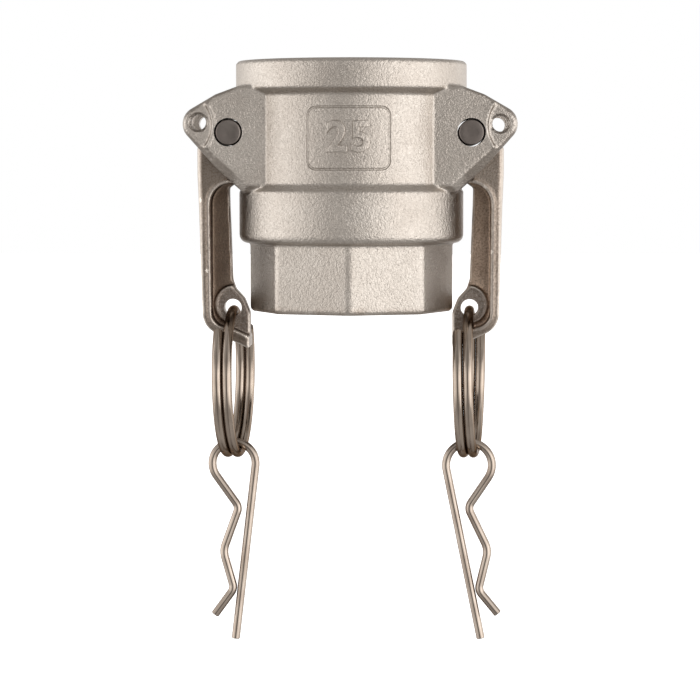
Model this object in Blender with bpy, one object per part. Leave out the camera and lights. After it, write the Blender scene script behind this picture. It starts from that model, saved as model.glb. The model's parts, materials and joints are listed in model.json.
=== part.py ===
"""Cam and groove coupler, nominal 25 mm, female thread, with two cam arms.

The coupler's axis is Z.  The origin is the centre of the threaded end's flat
face, and +Z points to the socket mouth that takes the groove adapter.  The two
cam arms swing on pins along Y, at -X (left) and +X (right).  They are closed
here, hanging beside the body.  Each arm's eye holds a split pull ring, and each
ring holds a hairpin safety clip.  Every dimension is in metres.
"""
import math

import bmesh
import bpy
from mathutils import Matrix, Vector

MM = 0.001
GAP = 0.3 * MM                      # running gap between pieces that touch
SIDES = {"left": -1.0, "right": 1.0}

# Cast body, outside
BODY_HEIGHT = 57.4 * MM
BAND_RADIUS = 26.5 * MM             # mouth band
BAND_BOTTOM = 50.9 * MM
WAIST_RADIUS = 24.2 * MM            # cylinder between band and collar
WAIST_TOP = 49.5 * MM
WAIST_BOTTOM = 29.3 * MM
COLLAR_RADIUS = 25.8 * MM
COLLAR_TOP = 27.6 * MM
COLLAR_BOTTOM = 15.8 * MM
COLLAR_ROUND = 1.3 * MM
RIM_ROUND = 0.9 * MM
OCTAGON_FLATS = 43.3 * MM           # spanner size across the octagon's flats
OCTAGON_CHAMFER = 0.7 * MM

# Cast body, inside
THREAD_MINOR_RADIUS = 15.15 * MM    # G1 parallel thread, bore before threading
THREAD_ENTRY_RADIUS = 16.9 * MM
THREAD_DEPTH = 17.0 * MM
WATERWAY_RADIUS = 13.5 * MM
GROOVE_RADIUS = 20.2 * MM           # undercut that keeps the gasket
GROOVE_BOTTOM = 19.7 * MM
GROOVE_TOP = 26.7 * MM
SOCKET_RADIUS = 18.65 * MM
MOUTH_RADIUS = 19.6 * MM            # lead-in at the mouth
LEAD_IN = 1.5 * MM

# Ears that carry the arms
EAR_FACE = 15.2 * MM                # outer face, distance from the XZ plane
SLOT_HALF = 10.0 * MM               # half width of the arm slot
SLOT_BOTTOM = 28.8 * MM
SLOT_TOP = 50.8 * MM
LUG = (33.85 * MM, 42.9 * MM)       # safety hole centre, x and z
LUG_RADIUS = 4.0 * MM
LUG_HOLE_RADIUS = 1.75 * MM
RELIEF = (38.9 * MM, 42.6 * MM)     # centre of the arc where the lug tip gets thinner
RELIEF_RADIUS = 7.9 * MM
RELIEF_DEPTH = 0.8 * MM
PIVOT = (27.4 * MM, 41.0 * MM)      # arm pivot, x and z
PIN_RADIUS = 2.9 * MM
PIN_HALF_LENGTH = 15.0 * MM
PIN_CHAMFER = 0.35 * MM

# Gasket
GASKET_OUTER = 19.85 * MM
GASKET_INNER = 13.5 * MM
GASKET_HEIGHT = 6.35 * MM

# Cam arm
ARM_HALF = 9.6 * MM                 # half width of the head
ARM_TIP_HALF = 6.3 * MM             # half width at the handle's lower end
TAPER_TOP = 24.4 * MM
ARM_BOTTOM = -8.4 * MM
ARM_CORNER = (28.75 * MM, -0.1 * MM)    # rounded outer corner of the lower end
ARM_CORNER_RADIUS = 5.2 * MM
WEB_HALF = 1.8 * MM
CAM_REACH = 11.6 * MM               # pivot to the cam nose
CAM_HOLLOW = 1.1 * MM               # how deep the nose is hollowed across its width
EYE = (27.25 * MM, 0.85 * MM)       # eye hole centre, x and z
EYE_RADIUS = 2.0 * MM
EYE_BOSS_RADIUS = 3.7 * MM
EYE_BOSS_HALF = 2.4 * MM
ARM_INNER_EDGE = 23.3 * MM          # clears the octagon's corner

# Pull ring: a split ring of round wire
RING_WIRE = 1.0 * MM
RING_RADIUS = 16.5 * MM
RING_PITCH = 2.28 * MM
RING_OPEN = 43.0                    # degrees from the top to each free end
RING_DROP = 0.65 * MM               # wire centre below the eye's centre
RING_YAW = {"left": -3.6, "right": -3.9}    # degrees about Z
RING_STEPS = 64

# Hairpin safety clip, in its own plane: a towards the coupler's axis, b up,
# measured from the centre of the round head
CLIP_WIRE = 0.85 * MM
CLIP_HEAD = 5.08 * MM
CLIP_LEG = 40.0 * MM                # straight leg below the head's centre
CLIP_WAVE = [(2.2 * MM, -9.4 * MM), (-0.3 * MM, -20.0 * MM),
             (3.1 * MM, -28.5 * MM), (-0.05 * MM, -35.0 * MM)]
CLIP_BEND = 2.4 * MM                # bend radius of the wavy leg
CLIP_HANG = 2.9 * MM                # head centre below the ring's lowest wire centre
CLIP_LEAN = {"left": 6.6, "right": 11.5}

MATERIALS = {
    "cast_steel": ((0.46, 0.41, 0.37), 0.42, 1.0),
    "arm_steel": ((0.24, 0.19, 0.16), 0.33, 1.0),
    "pin_steel": ((0.13, 0.10, 0.09), 0.38, 1.0),
    "ring_wire": ((0.36, 0.30, 0.25), 0.25, 1.0),
    "clip_wire": ((0.42, 0.36, 0.31), 0.28, 1.0),
    "gasket_rubber": ((0.02, 0.02, 0.02), 0.65, 0.0),
}


# ---------------------------------------------------------------- helpers
def clear_scene():
    for obj in list(bpy.data.objects):
        bpy.data.objects.remove(obj, do_unlink=True)


def make_material(name):
    colour, roughness, metallic = MATERIALS[name]
    material = bpy.data.materials.new(name)
    material.use_nodes = True
    shader = material.node_tree.nodes["Principled BSDF"]
    shader.inputs["Base Color"].default_value = (*colour, 1.0)
    shader.inputs["Roughness"].default_value = roughness
    shader.inputs["Metallic"].default_value = metallic
    return material


def link(name, data, origin=(0.0, 0.0, 0.0)):
    """Add an object whose data is in world coordinates, with its origin at origin."""
    data.transform(Matrix.Translation(-Vector(origin)))
    obj = bpy.data.objects.new(name, data)
    obj.location = origin
    bpy.context.scene.collection.objects.link(obj)
    return obj


def finish_mesh(name, bm):
    """Close a bmesh into a mesh with outward faces and smooth round parts."""
    bmesh.ops.recalc_face_normals(bm, faces=bm.faces)
    mesh = bpy.data.meshes.new(name)
    bm.to_mesh(mesh)
    bm.free()
    mesh.shade_smooth()
    mesh.set_sharp_from_angle(angle=math.radians(35.0))
    return mesh


def arc(centre, radius, start, end, steps):
    """Points on a circle, from one angle in degrees to another."""
    points = []
    for step in range(steps + 1):
        angle = math.radians(start + (end - start) * step / steps)
        points.append((centre[0] + radius * math.cos(angle),
                       centre[1] + radius * math.sin(angle)))
    return points


def turned(name, profile, steps=64):
    """Spin an open (radius, z) profile that starts and ends on the axis."""
    bm = bmesh.new()
    verts = [bm.verts.new((radius, 0.0, z)) for radius, z in profile]
    edges = [bm.edges.new(pair) for pair in zip(verts, verts[1:])]
    bmesh.ops.spin(bm, geom=verts + edges, cent=(0, 0, 0), axis=(0, 0, 1),
                   angle=math.tau, steps=steps, use_merge=True)
    bmesh.ops.remove_doubles(bm, verts=bm.verts, dist=0.001 * MM)
    return finish_mesh(name, bm)


def washer(name, profile, steps=64):
    """Spin a closed (radius, z) profile that stays off the axis."""
    bm = bmesh.new()
    verts = [bm.verts.new((radius, 0.0, z)) for radius, z in profile]
    edges = [bm.edges.new(pair) for pair in zip(verts, verts[1:] + verts[:1])]
    bmesh.ops.spin(bm, geom=verts + edges, cent=(0, 0, 0), axis=(0, 0, 1),
                   angle=math.tau, steps=steps, use_merge=True)
    return finish_mesh(name, bm)


def prism(name, outline, y_low, y_high):
    """Extrude an (x, z) outline along Y."""
    bm = bmesh.new()
    face = bm.faces.new([bm.verts.new((x, y_low, z)) for x, z in outline])
    extruded = bmesh.ops.extrude_face_region(bm, geom=[face])["geom"]
    moved = [item for item in extruded if isinstance(item, bmesh.types.BMVert)]
    bmesh.ops.translate(bm, verts=moved, vec=(0.0, y_high - y_low, 0.0))
    return finish_mesh(name, bm)


def rod_y(name, centre, radius, y_low, y_high, steps=24):
    """A round bar along Y."""
    return prism(name, arc(centre, radius, 0.0, 360.0 * (1 - 1 / steps), steps - 1),
                 y_low, y_high)


def combine(target, mesh, operation):
    """Add or cut a shape with a Boolean modifier that stays on the object."""
    tool = link(mesh.name, mesh)
    tool.hide_render = True
    tool.display_type = "WIRE"
    modifier = target.modifiers.new(mesh.name, "BOOLEAN")
    modifier.operation = operation
    modifier.solver = "EXACT"
    modifier.object = tool


def mirrored(outline):
    """Extend a half outline (top to bottom on the +X side) to both sides."""
    return outline + [(-x, z) for x, z in reversed(outline)]


# ---------------------------------------------------------------- body
def body_profile():
    """Outside of the turned part, from the axis at the bottom to the axis on top."""
    foot = COLLAR_BOTTOM + COLLAR_ROUND
    corner = arc((COLLAR_RADIUS - COLLAR_ROUND, foot), COLLAR_ROUND, -90.0, 0.0, 4)
    rim = arc((BAND_RADIUS - RIM_ROUND, BODY_HEIGHT - RIM_ROUND), RIM_ROUND, 0.0, 90.0, 3)
    return ([(0.0, COLLAR_BOTTOM)] + corner
            + [(COLLAR_RADIUS, COLLAR_TOP), (WAIST_RADIUS, WAIST_BOTTOM),
               (WAIST_RADIUS, WAIST_TOP), (BAND_RADIUS, BAND_BOTTOM)]
            + rim + [(0.0, BODY_HEIGHT)])


def octagon(name):
    """Octagonal spanner end, corners on the X and Y axes, lower edge chamfered."""
    radius = OCTAGON_FLATS / 2.0 / math.cos(math.radians(22.5))
    bm = bmesh.new()
    top = COLLAR_BOTTOM + COLLAR_ROUND
    bmesh.ops.create_cone(bm, cap_ends=True, segments=8, radius1=radius, radius2=radius,
                          depth=top, matrix=Matrix.Translation((0, 0, top / 2.0)))
    corner = max(bm.verts, key=lambda vert: vert.co.x)
    turn = math.atan2(corner.co.y, corner.co.x)
    bmesh.ops.rotate(bm, verts=bm.verts, cent=(0, 0, 0), matrix=Matrix.Rotation(-turn, 3, "Z"))
    lower = [edge for edge in bm.edges if all(abs(vert.co.z) < 0.01 * MM for vert in edge.verts)]
    bmesh.ops.bevel(bm, geom=lower, offset=OCTAGON_CHAMFER, segments=1, affect="EDGES")
    return finish_mesh(name, bm)


def bore_profile():
    """Inside of the body, from the thread entry up to the mouth lead-in."""
    past = 1.0 * MM
    entry = THREAD_ENTRY_RADIUS - THREAD_MINOR_RADIUS
    lead = (MOUTH_RADIUS - SOCKET_RADIUS) * (LEAD_IN + past) / LEAD_IN
    return [(0.0, -past), (THREAD_ENTRY_RADIUS + past, -past), (THREAD_MINOR_RADIUS, entry),
            (THREAD_MINOR_RADIUS, THREAD_DEPTH), (WATERWAY_RADIUS, THREAD_DEPTH),
            (WATERWAY_RADIUS, GROOVE_BOTTOM), (GROOVE_RADIUS, GROOVE_BOTTOM),
            (GROOVE_RADIUS, GROOVE_TOP), (SOCKET_RADIUS, GROOVE_TOP),
            (SOCKET_RADIUS, BODY_HEIGHT - LEAD_IN), (SOCKET_RADIUS + lead, BODY_HEIGHT + past),
            (0.0, BODY_HEIGHT + past)]


def ear_outline():
    """Ears of both sides as one plate: root under the band, lug tip, root on the collar."""
    half = [(25.2 * MM, 51.4 * MM), (30.3 * MM, 49.5 * MM)]
    half += arc(LUG, LUG_RADIUS, 62.0, -47.0, 8)
    half += [(30.0 * MM, 32.6 * MM), (24.3 * MM, 27.5 * MM)]
    return mirrored(half)


def make_body():
    body = link("coupler_body", turned("coupler_body", body_profile()))
    combine(body, octagon("octagon_tool"), "UNION")
    combine(body, prism("ear_tool", ear_outline(), -EAR_FACE, EAR_FACE), "UNION")
    combine(body, turned("bore_tool", bore_profile()), "DIFFERENCE")
    inner = 12.0 * MM
    outer = 45.0 * MM
    through = EAR_FACE + 2.0 * MM
    for side, sign in SIDES.items():
        box = [(inner * sign, SLOT_BOTTOM), (outer * sign, SLOT_BOTTOM),
               (outer * sign, SLOT_TOP), (inner * sign, SLOT_TOP)]
        combine(body, prism(side + "_slot_tool", box, -SLOT_HALF, SLOT_HALF), "DIFFERENCE")
        pivot = (PIVOT[0] * sign, PIVOT[1])
        combine(body, rod_y(side + "_pin_tool", pivot, PIN_RADIUS + GAP, -through, through),
                "DIFFERENCE")
        lug = (LUG[0] * sign, LUG[1])
        combine(body, rod_y(side + "_lug_tool", lug, LUG_HOLE_RADIUS, -through, through, 16),
                "DIFFERENCE")
        relief = (RELIEF[0] * sign, RELIEF[1])
        shelf = EAR_FACE - RELIEF_DEPTH
        combine(body, rod_y(side + "_front_relief_tool", relief, RELIEF_RADIUS, -through, -shelf),
                "DIFFERENCE")
        combine(body, rod_y(side + "_back_relief_tool", relief, RELIEF_RADIUS, shelf, through),
                "DIFFERENCE")
    body.data.materials.append(make_material("cast_steel"))


def make_gasket():
    bottom = GROOVE_BOTTOM + GAP
    top = bottom + GASKET_HEIGHT
    profile = [(GASKET_INNER, bottom), (GASKET_OUTER, bottom),
               (GASKET_OUTER, top), (GASKET_INNER, top)]
    gasket = link("gasket", washer("gasket", profile), (0.0, 0.0, (bottom + top) / 2.0))
    gasket.data.materials.append(make_material("gasket_rubber"))


def make_pin(side, sign, material):
    """Pivot pin with chamfered ends, fixed in both ears."""
    centre = (PIVOT[0] * sign, 0.0, PIVOT[1])
    bm = bmesh.new()
    along_y = Matrix.Translation(centre) @ Matrix.Rotation(math.pi / 2.0, 4, "X")
    bmesh.ops.create_cone(bm, cap_ends=True, segments=24, radius1=PIN_RADIUS,
                          radius2=PIN_RADIUS, depth=2.0 * PIN_HALF_LENGTH, matrix=along_y)
    ends = [edge for edge in bm.edges if abs(edge.verts[0].co.y - edge.verts[1].co.y) < GAP]
    bmesh.ops.bevel(bm, geom=ends, offset=PIN_CHAMFER, segments=1, affect="EDGES")
    pin = link("pivot_pin_" + side, finish_mesh("pivot_pin_" + side, bm), centre)
    pin.data.materials.append(material)


# ---------------------------------------------------------------- cam arm
def eye_shoulder():
    """Slope on the inner edge, from the slim handle out to the plate round the eye."""
    return [(26.6 * MM, 5.2 * MM), (24.6 * MM, 3.0 * MM)]


def arm_outline():
    """Side view of the right-hand arm, closed: head, handle and rounded lower end."""
    px, pz = PIVOT
    head = [(px + 2.0 * MM, pz + 6.8 * MM), (px - 3.0 * MM, pz + 7.2 * MM),
            (px - 10.7 * MM, pz + 4.3 * MM), (px - CAM_REACH, pz + 1.5 * MM),
            (px - CAM_REACH, pz - 2.0 * MM), (px - 10.2 * MM, pz - 4.6 * MM),
            (px - 5.0 * MM, pz - 8.6 * MM), (28.05 * MM, 28.4 * MM)]
    inner = [(27.3 * MM, 7.4 * MM)] + eye_shoulder() + [
        (23.75 * MM, 0.9 * MM), (ARM_INNER_EDGE, -0.4 * MM), (ARM_INNER_EDGE, ARM_BOTTOM)]
    corner = arc(ARM_CORNER, ARM_CORNER_RADIUS, -65.0, 0.0, 6)
    outer = [(34.85 * MM, 31.4 * MM), (34.85 * MM, pz - 3.5 * MM),
             (px + 4.3 * MM, pz - 0.3 * MM), (px + 4.3 * MM, pz + 4.2 * MM)]
    return head + inner + corner + outer


def pocket_outline():
    """Recess beside the web: arched under the head, following the outer flange."""
    arch = arc((27.1 * MM, 24.8 * MM), 5.0 * MM, 90.0, 0.0, 6)
    foot = arc((28.4 * MM, 0.0), 3.6 * MM, 0.0, -80.0, 5)
    return ([(20.0 * MM, 29.8 * MM)] + arch + foot
            + [(26.7 * MM, -4.0 * MM), (20.0 * MM, -7.3 * MM)])


def boss_outline():
    """Thicker plate round the eye: pointed on top, open to the inner and lower edges."""
    shoulder = eye_shoulder()
    return ([(26.9 * MM, 6.6 * MM)] + arc(EYE, EYE_BOSS_RADIUS, 50.0, -80.0, 8)
            + [(27.6 * MM, -4.4 * MM), (ARM_INNER_EDGE, -6.2 * MM),
               (ARM_INNER_EDGE, -0.4 * MM), (23.75 * MM, 0.9 * MM)] + shoulder[::-1])


def taper_width(mesh):
    """Narrow the handle in Y from the head's full width to the tip's."""
    for vert in mesh.vertices:
        if vert.co.z < TAPER_TOP:
            part = (TAPER_TOP - vert.co.z) / (TAPER_TOP - ARM_BOTTOM)
            half = ARM_HALF + (ARM_TIP_HALF - ARM_HALF) * part
            vert.co.y = math.copysign(half, vert.co.y)


def make_arm(side, sign, material):
    def sided(outline):
        return [(x * sign, z) for x, z in outline]

    outline = arm_outline()
    outline.insert(len(outline) - 4, (34.55 * MM, TAPER_TOP))
    outline.insert(8, (27.95 * MM, TAPER_TOP))
    mesh = prism("cam_arm_" + side, sided(outline), -ARM_HALF, ARM_HALF)
    taper_width(mesh)
    arm = link("cam_arm_" + side, mesh)
    deep = ARM_HALF + 2.0 * MM
    pocket = sided(pocket_outline())
    combine(arm, prism(side + "_front_pocket_tool", pocket, -deep, -WEB_HALF), "DIFFERENCE")
    combine(arm, prism(side + "_back_pocket_tool", pocket, WEB_HALF, deep), "DIFFERENCE")
    eye = (EYE[0] * sign, EYE[1])
    boss = sided(boss_outline())
    combine(arm, prism(side + "_boss_tool", boss, -EYE_BOSS_HALF, EYE_BOSS_HALF), "UNION")
    combine(arm, rod_y(side + "_eye_tool", eye, EYE_RADIUS, -deep, deep), "DIFFERENCE")
    pivot = (PIVOT[0] * sign, PIVOT[1])
    combine(arm, rod_y(side + "_pivot_tool", pivot, PIN_RADIUS + GAP, -deep, deep), "DIFFERENCE")
    combine(arm, nose_hollow(side + "_nose_tool", sign), "DIFFERENCE")
    arm.data.materials.append(material)


def nose_hollow(name, sign):
    """Upright round cutter that hollows the cam nose to sit round an adapter's groove."""
    radius = (ARM_HALF ** 2 + CAM_HOLLOW ** 2) / (2.0 * CAM_HOLLOW)
    face = PIVOT[0] - CAM_REACH + CAM_HOLLOW
    angle = math.degrees(math.asin((ARM_HALF + MM) / radius))
    outline = arc((face - radius, 0.0), radius, -angle, angle, 12)
    outline += [(face - 6.0 * MM, ARM_HALF + MM), (face - 6.0 * MM, -ARM_HALF - MM)]
    bm = bmesh.new()
    low = PIVOT[1] - 9.0 * MM
    face_loop = bm.faces.new([bm.verts.new((x * sign, y, low)) for x, y in outline])
    extruded = bmesh.ops.extrude_face_region(bm, geom=[face_loop])["geom"]
    moved = [item for item in extruded if isinstance(item, bmesh.types.BMVert)]
    bmesh.ops.translate(bm, verts=moved, vec=(0.0, 0.0, 18.0 * MM))
    return finish_mesh(name, bm)


# ---------------------------------------------------------------- wire pieces
def wire(name, points, radius, origin, material):
    """Round wire along a list of points, with closed flat ends."""
    curve = bpy.data.curves.new(name, "CURVE")
    curve.dimensions = "3D"
    curve.bevel_depth = radius
    curve.bevel_resolution = 2
    curve.use_fill_caps = True
    spline = curve.splines.new("POLY")
    spline.points.add(len(points) - 1)
    for target, point in zip(spline.points, points):
        target.co = (*point, 1.0)
    obj = link(name, curve, origin)
    curve.materials.append(material)
    return obj


def make_ring(side, sign, material):
    """Split ring: a close helix about X whose single-wire stretch runs through the eye."""
    top = EYE[1] - RING_DROP
    centre = Vector((EYE[0] * sign, 0.0, top - RING_RADIUS))
    yaw = Matrix.Rotation(math.radians(RING_YAW[side]), 4, "Z")
    points = []
    for step in range(RING_STEPS + 1):
        turn = RING_OPEN + (720.0 - 2.0 * RING_OPEN) * step / RING_STEPS
        angle = math.radians(turn)
        local = Vector((RING_PITCH * (turn / 360.0 - 1.0), -RING_RADIUS * math.sin(angle),
                        RING_RADIUS * math.cos(angle)))
        points.append(centre + yaw @ local)
    eye = (EYE[0] * sign, 0.0, EYE[1])
    wire("pull_ring_" + side, points, RING_WIRE, eye, material)


def rounded(path, radius, steps):
    """Replace each inner corner of a path by a round bend."""
    points = [path[0]]
    for before, corner, after in zip(path, path[1:], path[2:]):
        one = (before - corner).normalized()
        two = (after - corner).normalized()
        half = one.angle(two) / 2.0
        centre = corner + (one + two).normalized() * radius / math.sin(half)
        start = corner + one * radius / math.tan(half)
        end = corner + two * radius / math.tan(half)
        for step in range(steps + 1):
            blend = start.lerp(end, step / steps) - centre
            points.append(centre + blend.normalized() * radius)
    return points + [path[-1]]


def clip_path():
    """Centre line of the clip's wire in its own plane, as (a, b) points."""
    first = Vector(CLIP_WAVE[0])
    tangent = math.degrees(math.atan2(first.y, first.x) - math.acos(CLIP_HEAD / first.length))
    head = [Vector(point) for point in arc((0.0, 0.0), CLIP_HEAD, 0.0, tangent + 360.0, 16)]
    wave = rounded([head[-1]] + [Vector(point) for point in CLIP_WAVE], CLIP_BEND, 4)
    return [Vector((CLIP_HEAD, -CLIP_LEG))] + head + wave[1:]


def make_clip(side, sign, material):
    """Hairpin clip hanging on the ring's lowest point, in the XZ plane."""
    lowest = EYE[1] - RING_DROP - 2.0 * RING_RADIUS
    centre = Vector((EYE[0] * sign, 0.0, lowest - CLIP_HANG))
    lean = math.radians(CLIP_LEAN[side])
    points = []
    for a, b in clip_path():
        inward = a * math.cos(lean) + b * math.sin(lean)
        up = b * math.cos(lean) - a * math.sin(lean)
        points.append(centre + Vector((-sign * inward, 0.0, up)))
    hinge = centre + Vector((0.0, 0.0, CLIP_HEAD))
    wire("safety_clip_" + side, points, CLIP_WIRE, hinge, material)


def main():
    clear_scene()
    make_body()
    make_gasket()
    pin_steel = make_material("pin_steel")
    arm_steel = make_material("arm_steel")
    ring_wire = make_material("ring_wire")
    clip_wire = make_material("clip_wire")
    for side, sign in SIDES.items():
        make_pin(side, sign, pin_steel)
        make_arm(side, sign, arm_steel)
        make_ring(side, sign, ring_wire)
        make_clip(side, sign, clip_wire)


main()
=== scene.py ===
"""Looks of the cam and groove coupler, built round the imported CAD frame.

All lengths are in metres.  The CAD frame gives the joints' places and the
nodes' boxes; the castings are re-made here as fine meshes with cast fillets,
machined bores and a cut thread, and the wire pieces as swept round wire.
"""
import json
import math

import bmesh
import bpy
from mathutils import Matrix, Vector


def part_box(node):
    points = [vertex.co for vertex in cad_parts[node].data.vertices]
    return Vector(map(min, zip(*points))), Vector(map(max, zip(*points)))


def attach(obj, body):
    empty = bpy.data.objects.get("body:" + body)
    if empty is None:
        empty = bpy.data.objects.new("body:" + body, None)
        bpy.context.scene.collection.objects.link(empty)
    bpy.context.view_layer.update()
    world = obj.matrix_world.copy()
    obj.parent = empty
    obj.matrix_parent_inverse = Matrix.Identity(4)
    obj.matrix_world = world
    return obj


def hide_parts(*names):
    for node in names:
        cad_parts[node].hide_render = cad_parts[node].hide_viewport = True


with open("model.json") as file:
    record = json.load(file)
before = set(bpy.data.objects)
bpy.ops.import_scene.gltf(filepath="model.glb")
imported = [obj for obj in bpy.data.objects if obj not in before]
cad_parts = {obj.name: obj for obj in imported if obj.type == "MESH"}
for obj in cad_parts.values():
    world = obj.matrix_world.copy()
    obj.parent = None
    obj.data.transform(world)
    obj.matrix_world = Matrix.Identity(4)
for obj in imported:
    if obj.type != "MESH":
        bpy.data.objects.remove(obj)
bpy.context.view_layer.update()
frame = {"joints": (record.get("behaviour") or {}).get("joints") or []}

MM = 0.001
SIDES = {"left": -1.0, "right": 1.0}
JOINTS = {joint["name"]: joint for joint in frame["joints"]}

# Places that the frame gives
BODY_LOW, BODY_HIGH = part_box("coupler_body")
BODY_HEIGHT = BODY_HIGH.z - BODY_LOW.z
BAND_RADIUS = BODY_HIGH.y
PIVOT_X, _, PIVOT_Z = JOINTS["arm_right_pivot"]["pos_m"]
EYE_X, _, EYE_Z = JOINTS["ring_right_swing"]["pos_m"]
GASKET_LOW, GASKET_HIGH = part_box("gasket")
PIN_LOW, PIN_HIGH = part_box("pivot_pin_right")
PIN_RADIUS = (PIN_HIGH.x - PIN_LOW.x) / 2.0
ARM_LOW, ARM_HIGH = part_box("cam_arm_right")

# Casting
BODY_VOXEL = 0.3 * MM
ARM_VOXEL = 0.27 * MM
FAIRING_PASSES = 5
BODY_KEEP = 0.42  # share of the body's faces that thinning leaves
PAST = 1.0 * MM  # how far cutting tools run past the metal
FAR_PAST = 2.0 * MM
PATH_STEP = 1.0 * MM  # spacing of points along straight stretches of a path

# Body, outside
RIM_CHAMFER = 0.7 * MM
BAND_BOTTOM = 50.9 * MM
WAIST_RADIUS = 24.2 * MM
WAIST_TOP = 49.5 * MM
WAIST_BOTTOM = 29.3 * MM
COLLAR_RADIUS = 25.8 * MM
COLLAR_TOP = 27.6 * MM
COLLAR_BOTTOM = 15.8 * MM
COLLAR_FOOT = 1.9 * MM  # rounding of the collar's lower edge
OCTAGON_FLATS = 43.5 * MM
OCTAGON_TOP = 17.5 * MM  # inside the collar
OCTAGON_BLUNT = 0.03  # share of a side that each corner loses
EAR_FACE = 15.2 * MM
EAR_EDGE = 12.9 * MM  # where the ear's bevelled edge begins
EAR_SOFT = 0.5 * MM
EAR_BEVELS = (2.1 * MM, 1.7 * MM)  # inset of the lower edge at the face and behind it
EAR_TOP = ((25.2 * MM, 51.4 * MM), (30.3 * MM, 49.5 * MM))  # from the waist outward
EAR_BOTTOM = ((30.0 * MM, 32.6 * MM), (24.3 * MM, 27.5 * MM))  # from the lug inward
SLOT_REACH = (12.0 * MM, 45.0 * MM)
SLOT_HALF = 10.0 * MM
SLOT_BOTTOM = 28.8 * MM
SLOT_TOP = 50.8 * MM
LUG = (33.85 * MM, 42.9 * MM)
LUG_RADIUS = 4.0 * MM
LUG_ARC = (62.0, -47.0)  # degrees, from the ear's upper edge to its lower one
LUG_HOLE = 1.75 * MM
LUG_HOLE_DRIFT = {"left": (0.35 * MM, 0.35 * MM), "right": (0.0, 0.0)}  # outward, upward
RELIEF = (38.9 * MM, 42.6 * MM)  # centre of the round step that thins the lug
RELIEF_RADIUS = 7.9 * MM
RELIEF_DEPTH = 0.9 * MM
RELIEF_SLOPE = 1.9 * MM
BEAD_ARC = (143.0, 219.0)
BEAD_RADIUS = 0.5 * MM
HOLE_PLAY = 0.3 * MM

# Body, machined inside
THREAD_MOUTH = 16.9 * MM
THREAD_MINOR = 15.15 * MM
THREAD_MAJOR = 16.62 * MM
THREAD_PITCH = 25.4 * MM / 11.0
THREAD_DEPTH = 17.0 * MM
WATERWAY = 13.5 * MM
GROOVE_RADIUS = 20.2 * MM
GROOVE_BOTTOM = 19.7 * MM
GROOVE_TOP = 26.7 * MM
GROOVE_SOFT = 0.4 * MM
SOCKET = 18.65 * MM
MOUTH = 19.6 * MM
LEAD_IN = 1.5 * MM
GASKET_BORE = 13.5 * MM
GASKET_SOFT = 0.5 * MM

# Size panel on the waist: a grooved frame round a raised size number
PANEL_CENTRE = 39.6 * MM
PANEL_HALF = (9.4 * MM, 6.9 * MM)
PANEL_CORNER = 1.9 * MM
PANEL_GROOVE = 0.32 * MM
GROOVE_LIFT = 0.04 * MM  # the frame line's centre above the waist
NUMBER = "25"  # nominal bore in millimetres
NUMBER_SIZE = 9.4 * MM
NUMBER_SPACING = 1.12
NUMBER_DEPTH = 0.5 * MM
NUMBER_SWELL = 0.05 * MM
NUMBER_BEVEL = 0.26 * MM
NUMBER_SUNK = 0.24 * MM

# Arms
ARM_TIP_HALF = 6.3 * MM
TAPER_TOP = 24.4 * MM
ARM_CORNER = (28.75 * MM, -0.1 * MM)
ARM_CORNER_RADIUS = 5.2 * MM
WEB_HALF = 1.8 * MM
ARM_EDGE = 0.8 * MM
CAM_REACH = 11.6 * MM
CAM_HOLLOW = 1.1 * MM
EYE_RADIUS = 2.0 * MM
BOSS_CENTRE = (26.95 * MM, 1.6 * MM)
BOSS_RADIUS = 4.45 * MM
BOSS_HALF = 2.4 * MM
ARM_INNER = 23.3 * MM
EYE_SHOULDER = [  # from the slim handle out to the plate round the eye
    (26.6 * MM, 5.2 * MM), (24.6 * MM, 3.0 * MM), (23.75 * MM, 0.9 * MM),
    (ARM_INNER, -0.4 * MM),
]
POCKET_FLOOR_GROW = 0.1 * MM
POCKET_MOUTH_GROW = -0.2 * MM
LIP_RADIUS = 0.6 * MM
LIP_SUNK = 0.25 * MM
EYE_RIM_RADIUS = 0.35 * MM
EYE_RIM_SUNK = 0.12 * MM
ARM_PAINTED_LIGHT = {"left": 1.0, "right": 2.1}  # painted light: each arm's recess painted lighter or darker as light falls on it
EDGE_PLACE = 33.95 * MM  # outer edge of the painted highlight at z = 0
EDGE_LEAN = 0.0246  # how much it leans outward with height

# Wire pieces
RING_WIRE = 1.138 * MM
RING_RADIUS = 16.5 * MM
RING_PITCH = 2.28 * MM
RING_OPEN = 43.0  # degrees from the eye to each end of the wire
RING_DROP = 0.65 * MM  # wire's centre below the eye's, where the ring hangs
RING_EDGE = 0.18 * MM
RING_YAW = {"left": -3.6, "right": -3.9}
CLIP_WIRE = 0.95 * MM
CLIP_EDGE = 0.15 * MM
CLIP_HEAD = {"left": 5.0 * MM, "right": 5.3 * MM}
CLIP_LEG = {"left": 40.7 * MM, "right": 40.2 * MM}
CLIP_WAVE = {
    "left": [(2.3 * MM, -10.0 * MM), (-0.2 * MM, -20.6 * MM),
             (3.3 * MM, -29.1 * MM), (-0.45 * MM, -35.7 * MM)],
    "right": [(2.2 * MM, -9.6 * MM), (-0.5 * MM, -20.2 * MM),
              (3.6 * MM, -29.0 * MM), (0.25 * MM, -35.3 * MM)],
}
CLIP_BENDS = (2.4 * MM, 5.0 * MM, 2.4 * MM)
CLIP_HANG = {"left": 2.63 * MM, "right": 2.94 * MM}  # head's centre below the ring's wire
CLIP_LEAN = {"left": 6.6, "right": 11.5}

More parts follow.
